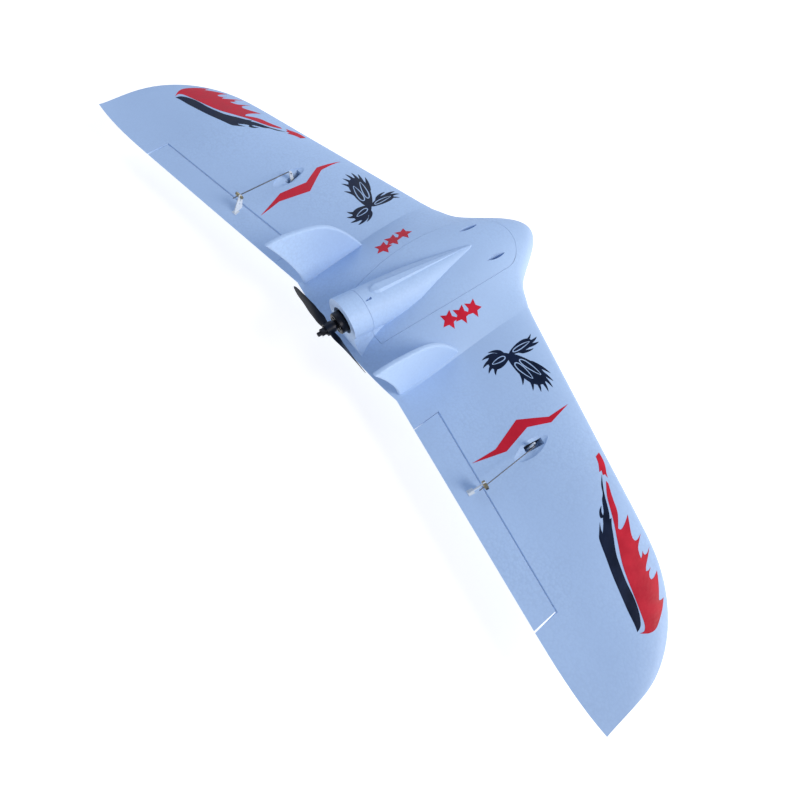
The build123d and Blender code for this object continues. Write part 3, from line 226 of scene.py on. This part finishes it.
def moulded_plastic(name, colour, roughness, grain=1400.0, variation=0.12, specular=0.5):
    """Plastic or rubber with flow marks and a fine moulded grain."""
    material, tree, shader, place = new_material(name, colour, roughness, specular=specular)
    flow = noise(tree, place, 45.0, 3.0, distortion=0.6)
    texture = noise(tree, place, grain, 2.0)
    base = blend_colours(tree, flow, scaled(colour, 1.0 - variation), scaled(colour, 1.0 + variation))
    tree.links.new(base, shader.inputs["Base Color"])
    smoother = max(LOWEST_ROUGHNESS, roughness - 0.08)
    rough = remap(tree, texture, 0.3, 0.7, smoother, min(1.0, roughness + 0.08))
    tree.links.new(rough, shader.inputs["Roughness"])
    relief(tree, shader, texture, PLASTIC_GRAIN_DEPTH, 0.7)
    return material


def turned_metal(name, colour, roughness, stretch=(1.0, 1.0, 12.0)):
    """Fine tool marks that run one way, with slight staining."""
    material, tree, shader, place = new_material(name, colour, roughness, metallic=1.0)
    marks = noise(tree, stretched(tree, place, stretch), 700.0, 3.0)
    stain = noise(tree, place, 120.0, 3.0)
    base = blend_colours(tree, stain, scaled(colour, 0.8), scaled(colour, 1.12))
    tree.links.new(base, shader.inputs["Base Color"])
    rough = remap(tree, marks, 0.3, 0.7, max(LOWEST_ROUGHNESS, roughness - 0.1), roughness + 0.12)
    tree.links.new(rough, shader.inputs["Roughness"])
    relief(tree, shader, marks, TOOL_MARK_DEPTH, 0.6)
    return material


def carbon_tube(name, colour):
    """Fibres drawn along the tube, under clear resin."""
    material, tree, shader, place = new_material(name, colour, 0.3, coat=0.3)
    fibres = noise(tree, stretched(tree, place, (0.04, 1.0, 1.0)), 2200.0, 3.0)
    base = blend_colours(tree, fibres, scaled(colour, 0.5), scaled(colour, 2.2))
    tree.links.new(base, shader.inputs["Base Color"])
    tree.links.new(remap(tree, fibres, 0.3, 0.7, 0.22, 0.45), shader.inputs["Roughness"])
    relief(tree, shader, fibres, FIBRE_DEPTH, 0.6)
    return material


PLY_SPACING = 2.0 * math.pi / (WAVES_PER_UNIT * 180.0)


def plywood(name, colour):
    """Grain along X and plies stacked along Y."""
    material, tree, shader, place = new_material(name, colour, 0.6)
    grain = noise(tree, stretched(tree, place, (0.08, 1.0, 1.0)), 420.0, 4.0, distortion=0.8)
    plies = bands(tree, place, PLY_SPACING, "Y", 0.4)
    base = blend_colours(tree, grain, scaled(colour, 0.62), scaled(colour, 1.12))
    base = blend_colours(tree, combine(tree, "MULTIPLY", plies, 0.35), base, scaled(colour, 0.5))
    tree.links.new(base, shader.inputs["Base Color"])
    tree.links.new(remap(tree, grain, 0.3, 0.7, 0.5, 0.7), shader.inputs["Roughness"])
    relief(tree, shader, grain, WOOD_GRAIN_DEPTH, 0.6)
    return material


def ribbed(name, colour, second, spacing, roughness, metallic):
    """Fine parallel ribs, such as wire turns or stacked sheets."""
    material, tree, shader, place = new_material(name, colour, roughness, metallic=metallic)
    ribs = bands(tree, place, spacing, "Y", 0.3)
    patch = noise(tree, place, 260.0, 3.0)
    base = blend_colours(tree, ribs, second, colour)
    base = blend_colours(tree, combine(tree, "MULTIPLY", patch, 0.35), base, scaled(colour, 0.6))
    tree.links.new(base, shader.inputs["Base Color"])
    rough = remap(tree, patch, 0.3, 0.7, roughness - 0.08, roughness + 0.1)
    tree.links.new(rough, shader.inputs["Roughness"])
    relief(tree, shader, ribs, RIB_DEPTH, 0.8)
    return material


def woven(name, colour, spacing):
    """Webbing: crossed threads with a little fuzz."""
    material, tree, shader, place = new_material(name, colour, 0.85, specular=0.25)
    along = bands(tree, place, spacing, "X", 0.4)
    across = bands(tree, place, spacing, "Y", 0.4)
    weave = combine(tree, "MULTIPLY", along, across)
    fuzz = noise(tree, place, 1800.0, 3.0)
    base = blend_colours(tree, weave, scaled(colour, 0.6), scaled(colour, 2.4))
    base = blend_colours(tree, combine(tree, "MULTIPLY", fuzz, 0.4), base, scaled(colour, 1.6))
    tree.links.new(base, shader.inputs["Base Color"])
    tree.links.new(remap(tree, fuzz, 0.3, 0.7, 0.75, 0.95), shader.inputs["Roughness"])
    relief(tree, shader, combine(tree, "ADD", weave, fuzz), WEAVE_DEPTH, 0.8)
    return material


def shrink_film(name, colour):
    """Heat-shrunk film with soft creases."""
    material, tree, shader, place = new_material(name, colour, 0.28, coat=0.4)
    creases = noise(tree, stretched(tree, place, (1.0, 0.35, 1.0)), 110.0, 4.0, distortion=1.6)
    base = blend_colours(tree, creases, scaled(colour, 0.75), scaled(colour, 1.35))
    tree.links.new(base, shader.inputs["Base Color"])
    tree.links.new(remap(tree, creases, 0.3, 0.7, 0.2, 0.4), shader.inputs["Roughness"])
    relief(tree, shader, creases, CREASE_DEPTH, 0.6)
    return material


materials = {
    "foam": foam("foam", FOAM_COLOUR),
    "carbon": carbon_tube("carbon", (0.03, 0.03, 0.033)),
    "hinge_film": moulded_plastic("hinge_film", (0.42, 0.52, 0.68), 0.4, grain=600.0),
    "magnet": turned_metal("magnet", (0.72, 0.72, 0.74), 0.22),
    "plywood": plywood("plywood", (0.50, 0.33, 0.17)),
    "alloy_black": turned_metal("alloy_black", (0.03, 0.03, 0.035), 0.35, (1.0, 12.0, 1.0)),
    "alloy": turned_metal("alloy", (0.62, 0.63, 0.65), 0.3, (1.0, 12.0, 1.0)),
    "steel": turned_metal("steel", (0.13, 0.13, 0.14), 0.42, (12.0, 1.0, 12.0)),
    "lamination": ribbed("lamination", (0.12, 0.12, 0.13), (0.03, 0.03, 0.03), 0.5 * MM, 0.45, 0.8),
    "copper": ribbed("copper", (0.62, 0.24, 0.09), (0.16, 0.05, 0.02), 0.7 * MM, 0.35, 0.9),
    "prop_plastic": moulded_plastic("prop_plastic", (0.004, 0.007, 0.016), 0.42, 900.0, 0.4, specular=0.18),
    "servo_plastic": moulded_plastic("servo_plastic", (0.014, 0.016, 0.024), 0.38, variation=0.3),
    "white_nylon": moulded_plastic("white_nylon", (0.74, 0.78, 0.82), 0.42, variation=0.05),
    "brass": turned_metal("brass", (0.46, 0.37, 0.22), 0.3),
    "cover_plastic": moulded_plastic("cover_plastic", (0.60, 0.68, 0.80), 0.4, variation=0.04),
    "wire_rubber": moulded_plastic("wire_rubber", (0.016, 0.016, 0.018), 0.55, variation=0.3),
    "battery_wrap": shrink_film("battery_wrap", (0.02, 0.04, 0.14)),
    "strap": woven("strap", (0.016, 0.016, 0.02), 0.9 * MM),
    "shrink": shrink_film("shrink", (0.02, 0.02, 0.024)),
    "plug_plastic": moulded_plastic("plug_plastic", (0.62, 0.34, 0.02), 0.4),
}
red_film = vinyl("red_film", VINYL_RED, scaled(VINYL_RED, 1.25))
black_film = vinyl("black_film", VINYL_BLACK, scaled(VINYL_BLACK, 1.9))

for cad_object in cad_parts.values():
    for material_slot in cad_object.material_slots:
        material_slot.material = materials[material_slot.material.name.split(".")[0]]


# ---------------------------------------------------------------- stickers on the foam

FILM_STEP = 2.5 * MM  # spacing of the film's points
FILM_CLEAR = 0.6 * FILM_STEP  # inner points stay this far from the film's edges
FILM_LIFT = 0.16 * MM
FILM_SINK = 0.25 * MM
STEEPEST = 0.3  # the lift grows with the foam's slope up to this upright share of its normal
MERGE_DISTANCE = 1e-7


def foam_tree(names):
    """What a sticker is laid on: the skin of these CAD nodes, as they are at rest."""
    corners = []
    faces = []
    for name in names:
        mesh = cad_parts[name].data
        first = len(corners)
        corners += [v.co.copy() for v in mesh.vertices]
        faces += [[first + i for i in face.vertices] for face in mesh.polygons]
    return BVHTree.FromPolygons(corners, faces)


airframe_skin = foam_tree(("fuselage", "left_wing", "right_wing"))


def smooth_run(points, step):
    """A smooth line through these points, ends included, as points about step apart."""
    padded = [points[0], *points, points[-1]]
    line = [points[0]]
    for a, b, c, d in zip(padded, padded[1:], padded[2:], padded[3:]):
        count = max(1, math.ceil((c - b).length / step))
        for i in range(1, count + 1):
            t = i / count
            line.append(0.5 * (2 * b + (c - a) * t + (2 * a - 5 * b + 4 * c - d) * t * t
                               + (3 * b - a - 3 * c + d) * t * t * t))
    return line


def closed_outline(runs, side):
    """Joins smooth runs at their sharp corners. Points are (distance from the middle, y) in mm."""
    outline = []
    for run in runs:
        points = [Vector((side * x * MM, y * MM)) for x, y in run]
        outline += smooth_run(points, FILM_STEP)[:-1]
    return outline


def is_inside(point, outline):
    crossings = 0
    for a, b in zip(outline, outline[1:] + outline[:1]):
        if (a.y > point.y) != (b.y > point.y):
            crossings += point.x < a.x + (point.y - a.y) * (b.x - a.x) / (b.y - a.y)
    return crossings % 2 == 1


def clear_of(point, outline, gap):
    return all((point - corner).length > gap for corner in outline)


def sticker(name, outlines, material, holes=(), islands=()):
    """A thin closed film laid on the foam, filled in each outline and island and open at each hole."""
    every = [*outlines, *holes, *islands]
    flat = []
    edges = []
    for outline in every:
        first = len(flat)
        flat += outline
        edges += [(first + i, first + (i + 1) % len(outline)) for i in range(len(outline))]
    low = Vector((min(p.x for p in flat), min(p.y for p in flat)))
    high = Vector((max(p.x for p in flat), max(p.y for p in flat)))
    rim = list(flat)
    for i in range(int((high.x - low.x) / FILM_STEP) + 1):
        for j in range(int((high.y - low.y) / FILM_STEP) + 1):
            point = low + Vector((i, j)) * FILM_STEP
            covered = any(is_inside(point, outline) for outline in outlines)
            if covered and clear_of(point, rim, FILM_CLEAR):
                flat.append(point)
    corners, _, triangles, *_ = delaunay_2d_cdt(flat, edges, [], 0, MERGE_DISTANCE)
    kept = []
    for triangle in triangles:
        centre = sum((corners[i] for i in triangle), Vector((0.0, 0.0))) / len(triangle)
        covered = any(is_inside(centre, outline) for outline in outlines)
        covered = covered and not any(is_inside(centre, hole) for hole in holes)
        if covered or any(is_inside(centre, island) for island in islands):
            kept.append(tuple(triangle))
    used = sorted({i for triangle in kept for i in triangle})
    place = {old: new for new, old in enumerate(used)}
    top = []
    under = []
    for i in used:
        hit, normal, _, _ = airframe_skin.ray_cast(Vector((corners[i].x, corners[i].y, 1.0)), DOWN)
        top.append(hit - DOWN * (FILM_LIFT / max(STEEPEST, normal.z)))
        under.append(hit + DOWN * FILM_SINK)
    count = len(used)
    faces = [tuple(place[i] for i in triangle) for triangle in kept]
    around = {}
    for face in faces:
        for a, b in zip(face, face[1:] + face[:1]):
            around[(a, b)] = around.get((a, b), 0) + 1
    walls = [(b, a, a + count, b + count) for a, b in around if (b, a) not in around]
    mesh = bpy.data.meshes.new(name)
    backs = [tuple(i + count for i in reversed(face)) for face in faces]
    mesh.from_pydata(top + under, [], faces + backs + walls)
    mesh.materials.append(material)
    for polygon in mesh.polygons:
        polygon.use_smooth = polygon.index < len(faces)
    wall_edges = {tuple(sorted(edge)) for wall in walls for edge in zip(wall, wall[1:] + wall[:1])}
    for edge in mesh.edges:
        edge.use_edge_sharp = tuple(sorted(edge.vertices)) in wall_edges
    mesh.validate()
    piece = bpy.data.objects.new(name, mesh)
    bpy.context.scene.collection.objects.link(piece)
    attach(piece, "airframe")


# Outlines of the printed film on one half, in mm: distance from the middle and y. Each row is a smooth run
# between two sharp corners.
FLAME_STUB = (
    ((301, -14), (309, -12), (317, -8), (324, -2), (329, 1)),
    ((329, 1), (324, 1)),
    ((324, 1), (323, 4)),
    ((323, 4), (318, 1)),
    ((318, 1), (318, 5)),
    ((318, 5), (310, -2), (302, -6)),
    ((302, -6), (301, -14)),
)
FLAME_RED = (
    ((330, 6), (334, 6)),
    ((334, 6), (342, 11), (351, 16), (359, 20), (365, 24), (371, 30), (376, 35.5)),
    ((376, 35.5), (378.5, 35), (379, 31), (376, 21.5), (373, 14)),
    ((373, 14), (378, 18), (389, 27), (395, 30), (398, 29.5)),
    ((398, 29.5), (399, 26), (397.5, 17.5)),
    ((397.5, 17.5), (400.5, 24), (405, 32), (410, 36), (415.5, 38.5)),
    ((415.5, 38.5), (414, 35), (411, 30.5)),
    ((411, 30.5), (415, 32), (416.5, 28.5), (414, 19.5)),
    ((414, 19.5), (420, 31), (424, 39), (428, 44)),
    ((428, 44), (429.5, 41), (429, 36)),
    ((429, 36), (431.5, 42), (435.5, 45.5), (438, 45.5)),
    ((438, 45.5), (438.5, 41), (436.5, 32)),
    ((436.5, 32), (443, 38), (448, 43), (458, 54.5)),
    ((458, 54.5), (459.5, 52), (460, 47.5)),
    ((460, 47.5), (466.5, 58), (470.5, 67), (474, 76), (474.5, 82), (473, 87.5), (470, 92), (466.5, 96)),
    ((466.5, 96), (468, 91), (466, 87.5), (462, 84.5), (452, 80), (437, 73.5), (421, 67), (405, 59.5),
     (384.5, 46), (368, 34.5), (355, 26.5), (342, 18), (330, 6)),
)
FLAME_BLACK = (
    ((322, 5), (331, 13), (338.5, 19), (348, 25), (358, 31.5), (363, 36)),
    ((363, 36), (363.5, 33.5)),
    ((363.5, 33.5), (369, 39), (377, 45), (393, 57), (405, 63), (420.5, 69.5), (438, 75), (450, 80.5),
     (458, 86), (462.5, 91), (464, 97)),
    ((464, 97), (457, 94), (444, 90), (430, 85), (408, 77), (388, 68.5), (372, 61.5), (366, 56),
     (358.5, 47.5)),
    ((358.5, 47.5), (365, 52), (369, 53.5)),
    ((369, 53.5), (363, 46.5), (357, 41)),
    ((357, 41), (356, 43.5), (352, 41.5), (348.5, 37.5), (346.5, 32.5)),
    ((346.5, 32.5), (351.5, 37.5), (355.5, 39)),
    ((355.5, 39), (353, 35.5), (347.5, 31), (342, 26.5), (338, 21), (329.5, 14.5), (322, 5)),
)
ZIGZAG = (
    ((219, 113), (223, 81)),
    ((223, 81), (211, 39)),
    ((211, 39), (232, 6)),
    ((232, 6), (234, -26.5)),
    ((234, -26.5), (239, 8.5)),
    ((239, 8.5), (226, 35)),
    ((226, 35), (233, 73)),
    ((233, 73), (219, 113)),
)
STAR_CENTRES = ((66.0, 24.0), (69.0, 6.5), (70.0, -11.0))
STAR_RADIUS = 12.0
STAR_WAIST = 0.5
STAR_TURN = math.radians(-38.0)
STAR_CORNERS = 10


def star_outline(centre, side):
    """A five-pointed star, with one more point in the middle of each edge."""
    outline = []
    for i in range(STAR_CORNERS):
        radius = STAR_RADIUS if i % 2 == 0 else STAR_RADIUS * STAR_WAIST
        angle = STAR_TURN + math.pi * i / 5
        outline.append(Vector((side * centre[0] + radius * math.cos(angle),
                               centre[1] + radius * math.sin(angle))) * MM)
    following = outline[1:] + outline[:1]
    return [a.lerp(b, t) for a, b in zip(outline, following) for t in (0.0, 0.5)]


# The flourish on each wing, in mm: distance from the middle and y of its centre, then everything else is
# measured outboard and aft of that centre.
MOTIF_CENTRE = (141.0, -11.0)
# centre, length, width and turn in degrees of each solid leaf
MOTIF_LEAVES = (
    ((27, -5), 58, 25, -12),
    ((1, -20), 38, 13, -88),
    ((-1, 14), 30, 19, 96),
)
# root, tip, bend and width of each tapering stroke
MOTIF_STROKES = (
    ((20, -10), (50, -27), -2, 9),
    ((28, -9), (60, -22), -2, 9),
    ((34, -8), (66, -15), -3, 9),
    ((34, -5), (67, -6), -4, 9),
    ((32, -2), (62, 2), -4, 9),
    ((26, 0), (55, 9), -4, 9),
    ((16, 2), (42, 14), -3, 8),
    ((2, -24), (8, -47), 2, 7),
    ((1, -26), (1, -50), 2, 7),
    ((0, -22), (-6, -45), 2, 6),
    ((4, -12), (12, -33), 2, 6),
    ((2, 14), (12, 31), 3, 8),
    ((0, 16), (5, 36), 3, 8),
    ((-3, 14), (-5, 37), 3, 8),
    ((-5, 10), (-14, 31), 3, 8),
    ((-3, 4), (-17, 19), 3, 7),
)
# centre, length, width and turn of each open loop, and the width of its line
MOTIF_LOOPS = (
    ((29, -10.4), 33, 8, 165, 1.4),
    ((28, -0.4), 30, 8.5, 173, 1.4),
    ((1, -21), 29, 6, 92, 1.3),
    ((-1, 15), 20, 7, 276, 1.3),
)
LEAF_STEPS = 28
LEAF_FULLNESS = 0.35  # how much wider a leaf is towards the end that it points to
LOOP_ENDS = 2.4  # both ends of a loop together take this many widths of its line
LOOP_SIDES = 2
STROKE_STEPS = 12
STROKE_TAPER = 0.7


def on_wing(points, side):
    """Motif points to the plan of one wing, in metres."""
    return [Vector((side * (MOTIF_CENTRE[0] + u), MOTIF_CENTRE[1] + v)) * MM for u, v in points]


def leaf(centre, length, width, turn):
    """A leaf, fuller towards the end that it points to."""
    lean = math.radians(turn)
    points = []
    for i in range(LEAF_STEPS):
        angle = 2.0 * math.pi * i / LEAF_STEPS
        u = 0.5 * length * math.cos(angle)
        v = 0.5 * width * math.sin(angle) * (1.0 + LEAF_FULLNESS * math.cos(angle))
        points.append((centre[0] + u * math.cos(lean) - v * math.sin(lean),
                       centre[1] + u * math.sin(lean) + v * math.cos(lean)))
    return points


def stroke(root, tip, bend, width):
    """A bent stroke that tapers to a point at its tip."""
    start = Vector(root)
    chord = Vector(tip) - start
    normal = Vector((-chord.y, chord.x)).normalized()
    outer = []
    inner = []
    for i in range(STROKE_STEPS + 1):
        t = i / STROKE_STEPS
        middle = start + chord * t + normal * bend * 4.0 * t * (1.0 - t)
        half = 0.5 * width * (1.0 - t) ** STROKE_TAPER * (0.5 + 0.5 * min(1.0, t * 4.0))
        outer.append(middle + normal * half)
        if i < STROKE_STEPS:
            inner.append(middle - normal * half)
    return outer + inner[::-1]


def wing_motif(side_name, side):
    """Three lobes of leaves and strokes, with open loops cut into them."""
    solid = [on_wing(leaf(*each), side) for each in MOTIF_LEAVES]
    solid += [on_wing(stroke(*each), side) for each in MOTIF_STROKES]
    loops = []
    hearts = []
    for centre, length, width, turn, line in MOTIF_LOOPS:
        loops.append(on_wing(leaf(centre, length, width, turn), side))
        hearts.append(on_wing(leaf(centre, length - LOOP_ENDS * line, width - LOOP_SIDES * line, turn), side))
    sticker(f"{side_name}_wing_motif", solid, black_film, loops, hearts)


for side_name, side in SIDES.items():
    red_flames = [closed_outline(FLAME_RED, side), closed_outline(FLAME_STUB, side)]
    sticker(f"{side_name}_flame_red", red_flames, red_film)
    sticker(f"{side_name}_flame_black", [closed_outline(FLAME_BLACK, side)], black_film)
    sticker(f"{side_name}_zigzag_stripe", [closed_outline(ZIGZAG, side)], red_film)
    stars = [star_outline(centre, side) for centre in STAR_CENTRES]
    sticker(f"{side_name}_three_stars", stars, red_film)
    wing_motif(side_name, side)


# ---------------------------------------------------------------- floor, light and camera

FLOOR_SIZE = 30.0
FLOOR_DROP = 0.5 * MM
FLOOR_GREY = 0.86
FLOOR_SHADES = (0.84, 0.88)
FLOOR_GLOW = (1.0, 0.91, 0.77)
FLOOR_GLOW_STRENGTH = 0.62


def studio_floor():
    """A plain pale sheet under the model, lit from within so that it stays even."""
    mesh = bpy.data.meshes.new("studio_floor")
    half = FLOOR_SIZE / 2
    corners = [(-half, -half, 0), (half, -half, 0), (half, half, 0), (-half, half, 0)]
    mesh.from_pydata(corners, [], [(0, 1, 2, 3)])
    floor = bpy.data.objects.new("studio_floor", mesh)
    bpy.context.scene.collection.objects.link(floor)
    floor.location.z = -FLOOR_DROP
    material, tree, shader, place = new_material("studio_floor", (FLOOR_GREY,) * 3, 0.9, specular=0.1)
    darker, lighter = ((shade,) * 3 for shade in FLOOR_SHADES)
    paper = blend_colours(tree, noise(tree, place, 300.0, 3.0), darker, lighter)
    tree.links.new(paper, shader.inputs["Base Color"])
    shader.inputs["Emission Color"].default_value = (*FLOOR_GLOW, 1.0)
    shader.inputs["Emission Strength"].default_value = FLOOR_GLOW_STRENGTH
    mesh.materials.append(material)


def soft_light(name, place, aim, size, energy, colour):
    data = bpy.data.lights.new(name, "AREA")
    data.shape = "DISK"
    data.size = size
    data.energy = energy
    data.color = colour
    light = bpy.data.objects.new(name, data)
    light.location = place
    light.rotation_euler = (Vector(aim) - Vector(place)).to_track_quat("-Z", "Y").to_euler()
    bpy.context.scene.collection.objects.link(light)


# name, place, aim, diameter, power and colour of each light
LIGHTS = (
    ("side_light", (-3.4, -2.0, 2.07), (0.0, 0.0, 0.05), 2.1, 136.0, (1.0, 0.955, 0.89)),
    ("top_light", (1.5, -0.7, 1.3), (0.2, 0.0, 0.0), 1.6, 7.5, (0.90, 0.95, 1.0)),
)
SKY_COLOUR = (0.60, 0.74, 1.0)
SKY_STRENGTH = 0.52

LENS = 18.0
SENSOR_WIDTH = 36.0
CAMERA_SHIFT = (-0.0377, 0.0880)
CAMERA_PLACE = (-0.2754, 0.2685, 0.4774)
CAMERA_TURN = (17.019, -4.956, -128.954)
CLIP_START = 0.01

studio_floor()
for light in LIGHTS:
    soft_light(*light)

world = bpy.data.worlds.new("studio")
world.use_nodes = True
sky = world.node_tree.nodes["Background"]
sky.inputs["Color"].default_value = (*SKY_COLOUR, 1.0)
sky.inputs["Strength"].default_value = SKY_STRENGTH
bpy.context.scene.world = world
bpy.context.scene.view_settings.view_transform = "Standard"

camera_data = bpy.data.cameras.new("camera")
camera_data.lens = LENS
camera_data.sensor_width = SENSOR_WIDTH
camera_data.shift_x, camera_data.shift_y = CAMERA_SHIFT
camera_data.clip_start = CLIP_START
camera = bpy.data.objects.new("camera", camera_data)
camera.location = CAMERA_PLACE
camera.rotation_euler = tuple(math.radians(angle) for angle in CAMERA_TURN)
bpy.context.scene.collection.objects.link(camera)
bpy.context.scene.camera = camera
